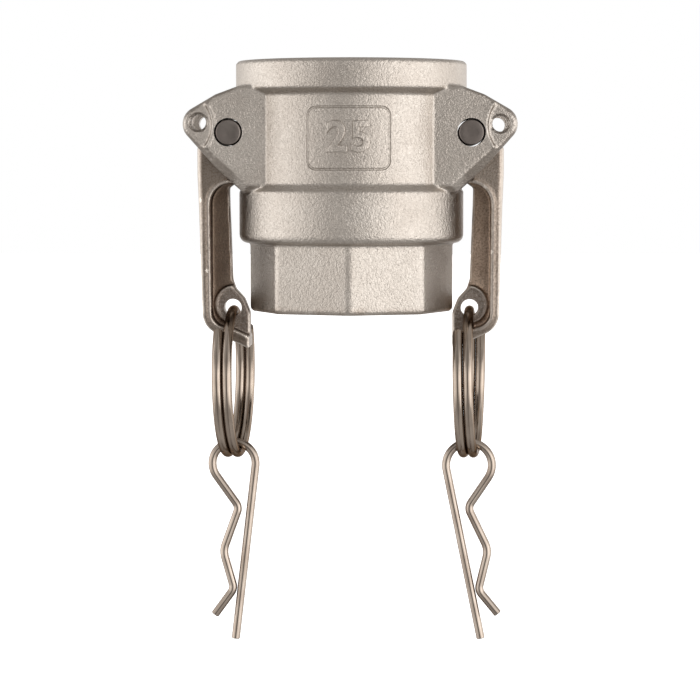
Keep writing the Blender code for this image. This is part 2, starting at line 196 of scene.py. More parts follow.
# Colours and brightness of the metals
CAST_DRIFT = ((0.56, 0.515, 0.47), (0.66, 0.62, 0.575))
CAST_GRAIN = (0.40, 0.36, 0.32)
CAST_PIT = (0.44, 0.40, 0.36)
CAST_STAIN = (0.19, 0.12, 0.07)
# painted shade: colour of the ears' sloping rims
CAST_BEVEL_PAINTED_SHADE = (0.27, 0.235, 0.205)
CAST_WORN = (0.80, 0.76, 0.71)
MACHINED = ((0.50, 0.47, 0.44), (0.60, 0.57, 0.54))
# recess colours: the casting's brown tint, made darker as painted shade
ARM_RECESS_BROWN_AND_SHADE = ((0.19, 0.138, 0.105), (0.33, 0.255, 0.20))
# painted shade: the recess darker towards the head, under the ears
ARM_PAINTED_SHADE = (0.12, 0.085, 0.06)
ARM_BOSS = ((0.30, 0.25, 0.215), (0.50, 0.45, 0.41))
ARM_FACE = ((0.30, 0.25, 0.21), (0.42, 0.36, 0.31))
ARM_GRAIN = (0.13, 0.10, 0.08)
ARM_WORN = (0.80, 0.74, 0.68)
# painted highlight along the handle's outer edge
ARM_EDGE_PAINTED_HIGHLIGHT = (0.62, 0.575, 0.53)
PIN_TONES = ((0.24, 0.21, 0.195), (0.30, 0.27, 0.25))
RING_TONES = ((0.38, 0.32, 0.27), (0.50, 0.43, 0.37))
CLIP_TONES = ((0.38, 0.32, 0.275), (0.50, 0.44, 0.385))
DIE_LINES = (0.16, 0.12, 0.09)
WIRE_SHEEN = (0.3, 0.24, 0.2)
RUBBER = ((0.012, 0.012, 0.013), (0.03, 0.03, 0.031))

# Camera and studio
SENSOR = 36.0
CAMERA_DISTANCE = 0.65
CAMERA_HEIGHT = 0.033
CAMERA_AZIMUTH = 1.5
CAMERA_TARGET = (-0.00032, 0.0, -0.00905)
FIELD = 0.1616  # width of the view at the coupler's axis
FLOOR_LEVEL = -0.6
WALLS = [  # azimuth from -90 up, brightness of the tent's wall
    (-90.0, 1.5), (-60.0, 1.5), (-32.0, 1.02), (-6.0, 0.05), (10.0, 0.74), (26.0, 1.84),
    (60.0, 1.82), (85.0, 1.75), (115.0, 1.6), (145.0, 1.1), (200.0, 0.7), (235.0, 1.3),
]
CEILING = 0.32
CEILING_SHARE = 0.82  # of the ceiling's grey overhead; the rest is the wall's
CEILING_RISE = (0.18, 0.52)  # heights between which the wall turns into ceiling
GAIN = 2.0  # strength of the tent; its colours stay below 1
WARMTH = 0.962
SOFTBOXES = {"left_box": -90.0, "right_box": 60.0}  # azimuths
SOFTBOX_SIZE = (0.25, 0.75)
SOFTBOX_WATTS = 0.35
SOFTBOX_ELEVATION = 4.0
SOFTBOX_DISTANCE = 0.6
SOFTBOX_LIFT = 0.02


# ---------------------------------------------------------------- mesh tools
def new_object(name, mesh, materials=()):
    obj = bpy.data.objects.new(name, mesh)
    bpy.context.scene.collection.objects.link(obj)
    for material in materials:
        mesh.materials.append(material)
    return obj


def to_mesh(name, bm):
    bmesh.ops.recalc_face_normals(bm, faces=bm.faces)
    mesh = bpy.data.meshes.new(name)
    bm.to_mesh(mesh)
    bm.free()
    return mesh


def settle(obj):
    """Apply every modifier of an object and keep only the resulting mesh."""
    graph = bpy.context.evaluated_depsgraph_get()
    mesh = bpy.data.meshes.new_from_object(obj.evaluated_get(graph), depsgraph=graph)
    obj.modifiers.clear()
    obj.data = mesh
    return obj


def smooth_shade(obj, angle=38.0):
    obj.data.shade_smooth()
    obj.data.set_sharp_from_angle(angle=math.radians(angle))


def arc(centre, radius, start, end, steps):
    points = []
    for step in range(steps + 1):
        angle = math.radians(start + (end - start) * step / steps)
        points.append((centre[0] + radius * math.cos(angle),
                       centre[1] + radius * math.sin(angle)))
    return points


def turned(name, profile, steps=160, closed=False):
    """Spin a (radius, z) profile; an open one starts and ends on the axis."""
    bm = bmesh.new()
    verts = [bm.verts.new((radius, 0.0, z)) for radius, z in profile]
    ends = verts[1:] + (verts[:1] if closed else [])
    edges = [bm.edges.new(pair) for pair in zip(verts, ends)]
    bmesh.ops.spin(bm, geom=verts + edges, cent=(0, 0, 0), axis=(0, 0, 1),
                   angle=math.tau, steps=steps, use_merge=True)
    bmesh.ops.remove_doubles(bm, verts=bm.verts, dist=0.001 * MM)
    return to_mesh(name, bm)


def loft(name, loops):
    """Skin closed loops of the same number of points, and cap both ends."""
    bm = bmesh.new()
    rings = [[bm.verts.new(point) for point in loop] for loop in loops]
    for low, high in zip(rings, rings[1:]):
        for index in range(len(low)):
            after = (index + 1) % len(low)
            bm.faces.new((low[index], low[after], high[after], high[index]))
    bm.faces.new(rings[0])
    bm.faces.new(rings[-1])
    return to_mesh(name, bm)


def prism(name, outline, low, high):
    """Extrude an (x, z) outline along Y."""
    return loft(name, [[(x, y, z) for x, z in outline] for y in (low, high)])


def rod(name, centre, radius, low, high, steps=64, far_radius=None):
    """A round bar or cone along Y."""
    circles = []
    for y, size in ((low, radius), (high, far_radius or radius)):
        outline = arc(centre, size, 0.0, 360.0 * (1 - 1 / steps), steps - 1)
        circles.append([(x, y, z) for x, z in outline])
    return loft(name, circles)


def joined(name, meshes, material=None):
    """One object from several separate closed shells."""
    bm = bmesh.new()
    for mesh in meshes:
        bm.from_mesh(mesh)
        bpy.data.meshes.remove(mesh)
    obj = new_object(name, bpy.data.meshes.new(name), [material] if material else [])
    bm.to_mesh(obj.data)
    bm.free()
    return obj


def add_shells(obj, meshes):
    """Lay closed shells into an object; casting it fuses them."""
    bm = bmesh.new()
    bm.from_mesh(obj.data)
    for mesh in meshes:
        bm.from_mesh(mesh)
        bpy.data.meshes.remove(mesh)
    bm.to_mesh(obj.data)
    bm.free()


def cut(obj, tool, operation="DIFFERENCE"):
    """Boolean with a tool object, which is removed afterwards."""
    modifier = obj.modifiers.new("cut", "BOOLEAN")
    modifier.operation = operation
    modifier.solver = "EXACT"
    modifier.material_mode = "TRANSFER"
    modifier.object = tool
    settle(obj)
    bpy.data.objects.remove(tool)


def cast(obj, voxel, keep=1.0):
    """Fuse shells into one skin and round every edge and corner as a casting has them.

    The skin's flat parts then give up faces until only a share, keep, is left.
    """
    remesh = obj.modifiers.new("fuse", "REMESH")
    remesh.mode = "VOXEL"
    remesh.voxel_size = voxel
    fair = obj.modifiers.new("fair", "SMOOTH")
    fair.factor = 0.5
    fair.iterations = FAIRING_PASSES
    if keep < 1.0:
        thin = obj.modifiers.new("thin", "DECIMATE")
        thin.ratio = keep
    settle(obj)


def mirrored(half):
    """A right-hand outline followed by its left-hand mirror."""
    return half + [(-x, z) for x, z in reversed(half)]


def sided(outline, sign):
    """A right-hand outline, or its mirror when sign is -1."""
    return [(x * sign, z) for x, z in outline]


# ---------------------------------------------------------------- coupler body
def outer_profile():
    """Shell of the body without its ears and octagon, from the axis and back to it."""
    foot = arc((COLLAR_RADIUS - COLLAR_FOOT, COLLAR_BOTTOM + COLLAR_FOOT), COLLAR_FOOT,
               -90.0, 0.0, 6)
    return ([(0.0, COLLAR_BOTTOM)] + foot
            + [(COLLAR_RADIUS, COLLAR_TOP), (WAIST_RADIUS, WAIST_BOTTOM),
               (WAIST_RADIUS, WAIST_TOP), (BAND_RADIUS, BAND_BOTTOM),
               (BAND_RADIUS, BODY_HEIGHT - RIM_CHAMFER),
               (BAND_RADIUS - RIM_CHAMFER, BODY_HEIGHT), (0.0, BODY_HEIGHT)])


def octagon():
    """Spanner end: blunt corners on the X and Y axes, small chamfer at the end face."""
    radius = OCTAGON_FLATS / 2.0 / math.cos(math.pi / 8.0)
    corners = [Vector((math.cos(k * math.pi / 4.0), math.sin(k * math.pi / 4.0), 0.0))
               for k in range(8)]
    blunt = []
    for k, corner in enumerate(corners):
        blunt.append(corner.lerp(corners[k - 1], OCTAGON_BLUNT))
        blunt.append(corner.lerp(corners[(k + 1) % 8], OCTAGON_BLUNT))
    loops = []
    for z, size in ((0.0, radius - RIM_CHAMFER), (RIM_CHAMFER, radius), (OCTAGON_TOP, radius)):
        loops.append([point * size + Vector((0.0, 0.0, z)) for point in blunt])
    return loft("octagon", loops)


def ear_outline(low_inset=0.0, top_inset=0.0):
    """Both ears as one plate; the insets move its lower and its upper edge inward."""
    lug = LUG_RADIUS - max(top_inset, 0.45 * low_inset)
    shift = 0.7 * low_inset
    half = [(x, z - top_inset) for x, z in EAR_TOP]
    half += arc(LUG, lug, *LUG_ARC, 12)
    half += [(x - shift, z + shift) for x, z in EAR_BOTTOM]
    return mirrored(half)


def ears():
    """One thick plate for both pairs of ears, with softened faces and bevelled lower edges."""
    front = [(EAR_FACE, ear_outline(EAR_BEVELS[0], EAR_SOFT)),
             (EAR_FACE - EAR_SOFT, ear_outline(EAR_BEVELS[1])), (EAR_EDGE, ear_outline())]
    levels = [(-y, outline) for y, outline in front] + front[::-1]
    return loft("ears", [[(x, y, z) for x, z in outline] for y, outline in levels])


def slots_and_reliefs():
    """Tools that cut the arms' slots and thin the lugs."""
    shells = []
    near, far = SLOT_REACH
    past = EAR_FACE + PAST
    shelf = EAR_FACE - RELIEF_DEPTH
    wide = RELIEF_RADIUS + RELIEF_SLOPE
    for sign in SIDES.values():
        box = sided([(near, SLOT_BOTTOM), (far, SLOT_BOTTOM), (far, SLOT_TOP),
                     (near, SLOT_TOP)], sign)
        shells.append(prism("slot", box, -SLOT_HALF, SLOT_HALF))
        centre = (RELIEF[0] * sign, RELIEF[1])
        shells.append(rod("front_relief", centre, wide, -past, -shelf, 64, RELIEF_RADIUS))
        shells.append(rod("back_relief", centre, RELIEF_RADIUS, shelf, past, 64, wide))
    return joined("slots_and_reliefs", shells)


def relief_beads():
    """Low rounded beads along the arc where each lug gets thinner."""
    level = EAR_FACE - BEAD_RADIUS / 2.0
    line = arc(RELIEF, RELIEF_RADIUS + 0.35 * MM, *BEAD_ARC, 20)
    meshes = []
    for sign in SIDES.values():
        for face in (-1.0, 1.0):
            path = [Vector((x * sign, face * level, z)) for x, z in line]
            meshes.append(tube_mesh("bead", path, BEAD_RADIUS, 10))
    return meshes


def bore_profile():
    """Thread bore, waterway, gasket groove and socket, from below upward."""
    entry = THREAD_MOUTH - THREAD_MINOR
    lead = (MOUTH - SOCKET) * (LEAD_IN + PAST) / LEAD_IN
    soft = GROOVE_SOFT
    return [(0.0, -PAST), (THREAD_MOUTH + PAST, -PAST), (THREAD_MINOR, entry),
            (THREAD_MINOR, THREAD_DEPTH), (WATERWAY, THREAD_DEPTH),
            (WATERWAY, GROOVE_BOTTOM), (GROOVE_RADIUS - soft, GROOVE_BOTTOM),
            (GROOVE_RADIUS, GROOVE_BOTTOM + soft), (GROOVE_RADIUS, GROOVE_TOP - soft),
            (GROOVE_RADIUS - soft, GROOVE_TOP), (SOCKET + soft, GROOVE_TOP),
            (SOCKET, GROOVE_TOP + soft), (SOCKET, BODY_HEIGHT - LEAD_IN),
            (SOCKET + lead, BODY_HEIGHT + PAST), (0.0, BODY_HEIGHT + PAST)]


def on_waist(x, z, height):
    """A point on the front of the waist cylinder, raised by height."""
    angle = x / WAIST_RADIUS
    radius = WAIST_RADIUS + height
    return Vector((radius * math.sin(angle), -radius * math.cos(angle), z))


def panel_path():
    """Rounded rectangle of the size panel, as (x, z) points round its centre."""
    wide, tall = PANEL_HALF
    corners = [(wide, tall, 0.0), (-wide, tall, 90.0), (-wide, -tall, 180.0), (wide, -tall, 270.0)]
    points = []
    for x, z, start in corners:
        centre = (x - math.copysign(PANEL_CORNER, x), z - math.copysign(PANEL_CORNER, z))
        points += arc(centre, PANEL_CORNER, start, start + 90.0, 8)
    fine = []
    for here, after in zip(points, points[1:] + points[:1]):
        parts = max(1, round(math.dist(here, after) / PATH_STEP))
        for part in range(parts):
            share = part / parts
            fine.append((here[0] + (after[0] - here[0]) * share,
                         here[1] + (after[1] - here[1]) * share))
    return fine


def panel_groove():
    """Ring-shaped tube that cuts the panel's frame line."""
    path = [on_waist(x, PANEL_CENTRE + z, GROOVE_LIFT) for x, z in panel_path()]
    return tube_mesh("panel_groove", path, PANEL_GROOVE, 10, closed=True)


def size_number():
    """Raised size number, wrapped onto the waist."""
    text = bpy.data.curves.new("size_number", "FONT")
    text.body = NUMBER
    text.size = NUMBER_SIZE
    text.align_x = "CENTER"
    text.align_y = "CENTER"
    text.space_character = NUMBER_SPACING
    text.extrude = NUMBER_DEPTH
    text.offset = NUMBER_SWELL
    text.bevel_depth = NUMBER_BEVEL
    text.bevel_resolution = 2
    text.resolution_u = 8
    obj = new_object("size_number", text)
    flat = bpy.data.meshes.new_from_object(
        obj.evaluated_get(bpy.context.evaluated_depsgraph_get()))
    bpy.data.objects.remove(obj)
    bm = bmesh.new()
    bm.from_mesh(flat)
    bmesh.ops.remove_doubles(bm, verts=bm.verts, dist=0.002 * MM)
    for vert in bm.verts:
        x, y, depth = vert.co
        vert.co = on_waist(x, PANEL_CENTRE + y, depth - NUMBER_SUNK)
    return to_mesh("size_number", bm)


def thread_cut():
    """V-shaped helix, right hand, that cuts the pipe thread."""
    half_mouth = 1.02 * MM
    root = 0.16 * MM
    inside = THREAD_MINOR - 0.25 * MM
    per_turn = 72
    low = -FAR_PAST
    run_out = 0.8 * MM
    turns = (THREAD_DEPTH - run_out - low) / THREAD_PITCH
    loops = []
    for step in range(int(turns * per_turn) + 1):
        angle = math.tau * step / per_turn
        z = low + THREAD_PITCH * step / per_turn
        section = [(inside, z - half_mouth), (THREAD_MAJOR, z - root),
                   (THREAD_MAJOR, z + root), (inside, z + half_mouth)]
        loops.append([(r * math.cos(angle), r * math.sin(angle), height)
                      for r, height in section])
    return loft("thread_cut", loops)


def lug_hole_centre(side):
    """The drilled hole sits a little off the lug's centre on one side."""
    out, up = LUG_HOLE_DRIFT[side]
    return ((LUG[0] + out) * SIDES[side], LUG[1] + up)


def lug_countersinks():
    """Cones that break the rims of the safety holes."""
    shelf = EAR_FACE - RELIEF_DEPTH
    inside = (shelf - 0.7 * MM, LUG_HOLE - 0.15 * MM)
    outside = (shelf + 0.5 * MM, LUG_HOLE + 1.05 * MM)
    meshes = []
    for side in SIDES:
        lug = lug_hole_centre(side)
        for face in (-1.0, 1.0):
            ends = [(face * level, radius) for level, radius in (inside, outside)]
            (low, small), (high, large) = sorted(ends)
            meshes.append(rod("countersink", lug, small, low, high, 40, large))
    return meshes


def make_body(skin, machined):
    """The casting: shell, octagon and ears fused, then the number, the holes and the bore."""
    body = joined("body_casting", [turned("shell", outer_profile())], skin)
    cut(body, joined("octagon_tool", [octagon()], skin), "UNION")
    cut(body, joined("ear_tool", [ears()], skin), "UNION")
    cut(body, slots_and_reliefs())
    add_shells(body, relief_beads())
    cast(body, BODY_VOXEL, BODY_KEEP)
    cut(body, joined("number_tool", [size_number()], skin), "UNION")
    body.data.materials.append(machined)
    through = EAR_FACE + FAR_PAST
    shells = [turned("bore", bore_profile(), 128)]
    for side, sign in SIDES.items():
        pivot = (PIVOT_X * sign, PIVOT_Z)
        shells.append(rod("pin_hole", pivot, PIN_RADIUS + HOLE_PLAY, -through, through))
        shells.append(rod("lug_hole", lug_hole_centre(side), LUG_HOLE, -through, through, 40))
    cut(body, joined("countersinks", lug_countersinks(), skin))
    cut(body, joined("machining", shells, machined))
    cut(body, joined("groove_tool", [panel_groove()], skin))
    cut(body, joined("thread_tool", [thread_cut()], machined))
    smooth_shade(body)
    return body


def make_gasket(rubber):
    """Flat ring with rounded corners."""
    soft = GASKET_SOFT
    inner, outer = GASKET_BORE + soft, GASKET_HIGH.x - soft
    low, high = GASKET_LOW.z + soft, GASKET_HIGH.z - soft
    profile = []
    for centre, start in (((inner, low), 180.0), ((outer, low), 270.0),
                          ((outer, high), 0.0), ((inner, high), 90.0)):
        profile += arc(centre, soft, start, start + 90.0, 5)
    obj = new_object("gasket_ring", turned("gasket_ring", profile, 128, closed=True), [rubber])
    smooth_shade(obj)
    return obj


def make_pin(side, sign, steel):
    """Turned pin with a chamfer and a faint dimple at each end."""
    half = PIN_HIGH.y
    edge = 0.38 * MM
    dimple = 0.06 * MM
    end = [(0.0, half - dimple), (PIN_RADIUS * 0.5, half - dimple / 2.0)]
    end += arc((PIN_RADIUS - edge, half - edge), edge, 90.0, 0.0, 6)
    profile = [(x, -z) for x, z in end] + end[::-1]
    mesh = turned("pin_" + side, profile, 96)
    mesh.transform(Matrix.Translation((PIVOT_X * sign, 0.0, PIVOT_Z))
                   @ Matrix.Rotation(math.pi / 2.0, 4, "X"))
    obj = new_object("pin_" + side, mesh, [steel])
    smooth_shade(obj, 20.0)
    return obj


# ---------------------------------------------------------------- cam arms
def arm_outline():
    """The right arm's side view: head, inner edge, lower corner and outer edge."""
    px, pz = PIVOT_X, PIVOT_Z
    head = [(px + 2.0 * MM, pz + 6.8 * MM), (px - 3.0 * MM, pz + 7.2 * MM),
            (px - 10.7 * MM, pz + 4.3 * MM), (px - CAM_REACH, pz + 1.5 * MM),
            (px - CAM_REACH, pz - 2.0 * MM), (px - 10.2 * MM, pz - 4.6 * MM),
            (px - 5.0 * MM, pz - 8.6 * MM), (28.05 * MM, 28.4 * MM), (27.95 * MM, TAPER_TOP)]
    inner = [(27.3 * MM, 7.4 * MM)] + EYE_SHOULDER + [(ARM_INNER, ARM_LOW.z)]
    corner = arc(ARM_CORNER, ARM_CORNER_RADIUS, -65.0, 0.0, 10)
    outer = [(34.55 * MM, TAPER_TOP), (34.85 * MM, 31.4 * MM), (34.85 * MM, pz - 3.5 * MM),
             (px + 4.3 * MM, pz - 0.3 * MM), (px + 4.3 * MM, pz + 4.2 * MM)]
    return head + inner + corner + outer


def pocket_outline(grow=0.0):
    """Recess beside the web; grow widens it towards the flange for a drafted wall."""
    arch = arc((27.1 * MM, 24.8 * MM), 5.0 * MM + grow, 90.0, 0.0, 10)
    foot = arc((28.4 * MM, 0.0), 3.6 * MM + grow, 0.0, -80.0, 8)
    return ([(20.0 * MM, 29.8 * MM + grow)] + arch + foot
            + [(26.7 * MM, -4.0 * MM - grow), (20.0 * MM, -7.3 * MM - grow)])


def boss_outline():
    """Plate round the eye."""
    return (arc(BOSS_CENTRE, BOSS_RADIUS, 88.0, -75.0, 16)
            + [(27.6 * MM, -4.4 * MM), (ARM_INNER, -6.2 * MM)] + EYE_SHOULDER[::-1])


def arm_half_width(z):
    """Half the arm's width at a height: the handle tapers towards its end."""
    wide = ARM_HIGH.y
    if z >= TAPER_TOP:
        return wide
    return wide + (ARM_TIP_HALF - wide) * (TAPER_TOP - z) / (TAPER_TOP - ARM_LOW.z)


def arm_blank(sign, head):
    """The arm's head with parallel sides, or its tapering handle below; edges broken."""
    outline = [point for point in arm_outline() if (point[1] >= TAPER_TOP) == head
               or point[1] == TAPER_TOP]
    levels = []
    for way, reach, shrink in ((-1.0, 0.0, ARM_EDGE), (-1.0, ARM_EDGE, 0.0),
                               (1.0, ARM_EDGE, 0.0), (1.0, 0.0, ARM_EDGE)):
        loop = []
        for x, z in outline:
            outside = x > EYE_X + 2.0 * MM and z < PIVOT_Z - 3.0 * MM
            pull = shrink if outside and z > 0.0 else 0.0
            loop.append(((x - pull) * sign, way * (arm_half_width(z) - reach), z))
        levels.append(loop)
    return loft("blank", levels)


def arm_pockets(sign):
    """Front and back recesses beside the web."""
    deep = ARM_HIGH.y + PAST
    floor = sided(pocket_outline(POCKET_FLOOR_GROW), sign)
    mouth = sided(pocket_outline(POCKET_MOUTH_GROW), sign)
    front = [[(x, -deep, z) for x, z in mouth], [(x, -WEB_HALF, z) for x, z in floor]]
    back = [[(x, WEB_HALF, z) for x, z in floor], [(x, deep, z) for x, z in mouth]]
    return joined("arm_pockets", [loft("front", front), loft("back", back)])


def arm_lips(sign):
    """Rounded lips along the flange's inner edge and round the eye's plate, both sides."""
    lip = []
    for x, z in pocket_outline(0.35 * MM)[2:]:
        short = max(0.0, ARM_INNER + 0.6 * MM - x)
        lip.append((x + short, z + 0.49 * short))
    rim = arc(BOSS_CENTRE, BOSS_RADIUS - 0.3 * MM, 80.0, -70.0, 16)
    meshes = []
    for way in (-1.0, 1.0):
        path = [Vector((x * sign, way * (arm_half_width(z) - LIP_SUNK), z)) for x, z in lip]
        meshes.append(tube_mesh("lip", evenly(path, 0.8 * MM), LIP_RADIUS, 10))
        path = [Vector((x * sign, way * (BOSS_HALF - EYE_RIM_SUNK), z)) for x, z in rim]
        meshes.append(tube_mesh("rim", path, EYE_RIM_RADIUS, 10))
    return meshes


def nose_hollow(sign):
    """Upright cylinder that hollows the cam's nose to fit round an adapter."""
    radius = (ARM_HIGH.y ** 2 + CAM_HOLLOW ** 2) / (2.0 * CAM_HOLLOW)
    face = PIVOT_X - CAM_REACH + CAM_HOLLOW
    back = face - 6.0 * MM
    past = ARM_HIGH.y + PAST
    angle = math.degrees(math.asin(past / radius))
    outline = arc((face - radius, 0.0), radius, -angle, angle, 24)
    outline += [(back, past), (back, -past)]
    levels = (PIVOT_Z - 9.0 * MM, PIVOT_Z + 9.0 * MM)
    return loft("nose", [[(x * sign, y, z) for x, y in outline] for z in levels])


def make_arm(side, sign, skin, machined):
    """The casting: head and handle fused, recessed beside the web, then bored."""
    arm = joined("arm_" + side, [arm_blank(sign, True)], skin)
    cut(arm, joined("handle_tool", [arm_blank(sign, False)], skin), "UNION")
    cut(arm, arm_pockets(sign))
    boss = prism("boss", sided(boss_outline(), sign), -BOSS_HALF, BOSS_HALF)
    cut(arm, joined("boss_tool", [boss], skin), "UNION")
    cut(arm, joined("nose_tool", [nose_hollow(sign)], skin))
    add_shells(arm, arm_lips(sign))
    cast(arm, ARM_VOXEL)
    arm.data.materials.append(machined)
    deep = ARM_HIGH.y + FAR_PAST
    holes = [rod("bore", (PIVOT_X * sign, PIVOT_Z), PIN_RADIUS + HOLE_PLAY, -deep, deep),
             rod("eye", (EYE_X * sign, EYE_Z), EYE_RADIUS, -deep, deep, 48)]
    cut(arm, joined("hole_tool", holes, machined))
    smooth_shade(arm)
    return arm


# ---------------------------------------------------------------- wire
def tube_mesh(name, path, radius, sides, closed=False, edge=0.0):
    """Round wire along a path, with a UV map of (round, length) in metres.

    The section is carried along without twist.  An open wire gets flat ends
    whose rims are broken by edge.
    """
    count = len(path)
    tangents = []
    for index, point in enumerate(path):
        before = path[index - 1] if closed or index else point
        after = path[(index + 1) % count] if closed or index < count - 1 else point
        tangents.append((after - before).normalized())
    normal = tangents[0].orthogonal().normalized()
    frames = []
    for index in range(count):
        if index:
            normal = tangents[index - 1].rotation_difference(tangents[index]) @ normal
        frames.append((path[index], normal, tangents[index].cross(normal), radius))
    if edge:
        tip, tail = tangents[0], tangents[-1]
        first, last = frames[0], frames[-1]
        frames[0] = (first[0] + tip * edge, *first[1:])
        frames[-1] = (last[0] - tail * edge, *last[1:])
        frames.insert(0, (first[0], first[1], first[2], radius - edge))
        frames.append((last[0], last[1], last[2], radius - edge))
    bm = bmesh.new()
    rings = []
    lengths = [0.0]
    for index, (centre, across, up, size) in enumerate(frames):
        if index:
            lengths.append(lengths[-1] + (centre - frames[index - 1][0]).length)
        ring = []
        for side in range(sides):
            angle = math.tau * side / sides
            ring.append(bm.verts.new(centre + (across * math.cos(angle)
                                               + up * math.sin(angle)) * size))
        rings.append(ring)
    layer = bm.loops.layers.uv.new("wire")
    pairs = list(zip(range(len(rings)), range(1, len(rings))))
    if closed:
        pairs.append((len(rings) - 1, 0))
    for low, high in pairs:
        for side in range(sides):
            after = (side + 1) % sides
            face = bm.faces.new((rings[low][side], rings[low][after],
                                 rings[high][after], rings[high][side]))
            turns = (side, side + 1, side + 1, side)
            along = (lengths[low], lengths[low], lengths[high], lengths[high])
            for loop, turn, distance in zip(face.loops, turns, along):
                loop[layer].uv = (math.tau * radius * turn / sides, distance)
    if not closed:
        bm.faces.new(rings[0])
        bm.faces.new(rings[-1])
    return to_mesh(name, bm)


def make_ring(side, sign, steel):
    """Split ring: a close helix about X whose single-wire stretch runs through the eye."""
    centre = Vector((EYE_X * sign, 0.0, EYE_Z - RING_DROP - RING_RADIUS))
    yaw = Matrix.Rotation(math.radians(RING_YAW[side]), 4, "Z")
    steps = 260
    path = []
    for step in range(steps + 1):
        turn = RING_OPEN + (720.0 - 2.0 * RING_OPEN) * step / steps
        angle = math.radians(turn)
        local = Vector((RING_PITCH * (turn / 360.0 - 1.0), -RING_RADIUS * math.sin(angle),
                        RING_RADIUS * math.cos(angle)))
        path.append(centre + yaw @ local)
    name = "split_ring_" + side
    obj = new_object(name, tube_mesh(name, path, RING_WIRE, 28, edge=RING_EDGE), [steel])
    smooth_shade(obj, 30.0)
    return obj


def rounded(path, radii, steps):
    """Round a path's corners, each with its own radius."""
    points = [path[0]]
    for before, corner, after, radius in zip(path, path[1:], path[2:], radii):
        one = (before - corner).normalized()
        two = (after - corner).normalized()
        half = one.angle(two) / 2.0
        centre = corner + (one + two).normalized() * radius / math.sin(half)
        start = corner + one * radius / math.tan(half)
        end = corner + two * radius / math.tan(half)
        for step in range(steps + 1):
            spoke = start.lerp(end, step / steps) - centre
            points.append(centre + spoke.normalized() * radius)
    return points + [path[-1]]


def clip_path(side):
    """Straight leg, round head and wavy leg of a hairpin, as (x, z) points."""
    radius = CLIP_HEAD[side]
    corners = [Vector(point) for point in CLIP_WAVE[side]]
    first = corners[0]
    tangent = math.degrees(math.atan2(first.y, first.x) - math.acos(radius / first.length))
    head = [Vector(point) for point in arc((0.0, 0.0), radius, 0.0, tangent + 360.0, 48)]
    wave = rounded([head[-1]] + corners, CLIP_BENDS, 10)
    return [Vector((radius, -CLIP_LEG[side]))] + head + wave[1:]


def evenly(path, spacing):
    """Fill long straight stretches with points."""
    points = []
    for here, after in zip(path, path[1:]):
        parts = max(1, round((after - here).length / spacing))
        points += [here.lerp(after, part / parts) for part in range(parts)]
    return points + [path[-1]]


def make_clip(side, sign, steel):
    """Hairpin that leans as it hangs from the lowest point of its ring."""
    lowest = EYE_Z - RING_DROP - 2.0 * RING_RADIUS
    centre = Vector((EYE_X * sign, 0.0, lowest - CLIP_HANG[side]))
    lean = math.radians(CLIP_LEAN[side])
    path = []
    for a, b in evenly(clip_path(side), PATH_STEP):
        inward = a * math.cos(lean) + b * math.sin(lean)
        up = b * math.cos(lean) - a * math.sin(lean)
        path.append(centre + Vector((-sign * inward, 0.0, up)))
    name = "hairpin_" + side
    obj = new_object(name, tube_mesh(name, path, CLIP_WIRE, 24, edge=CLIP_EDGE), [steel])
    smooth_shade(obj, 30.0)
    return obj


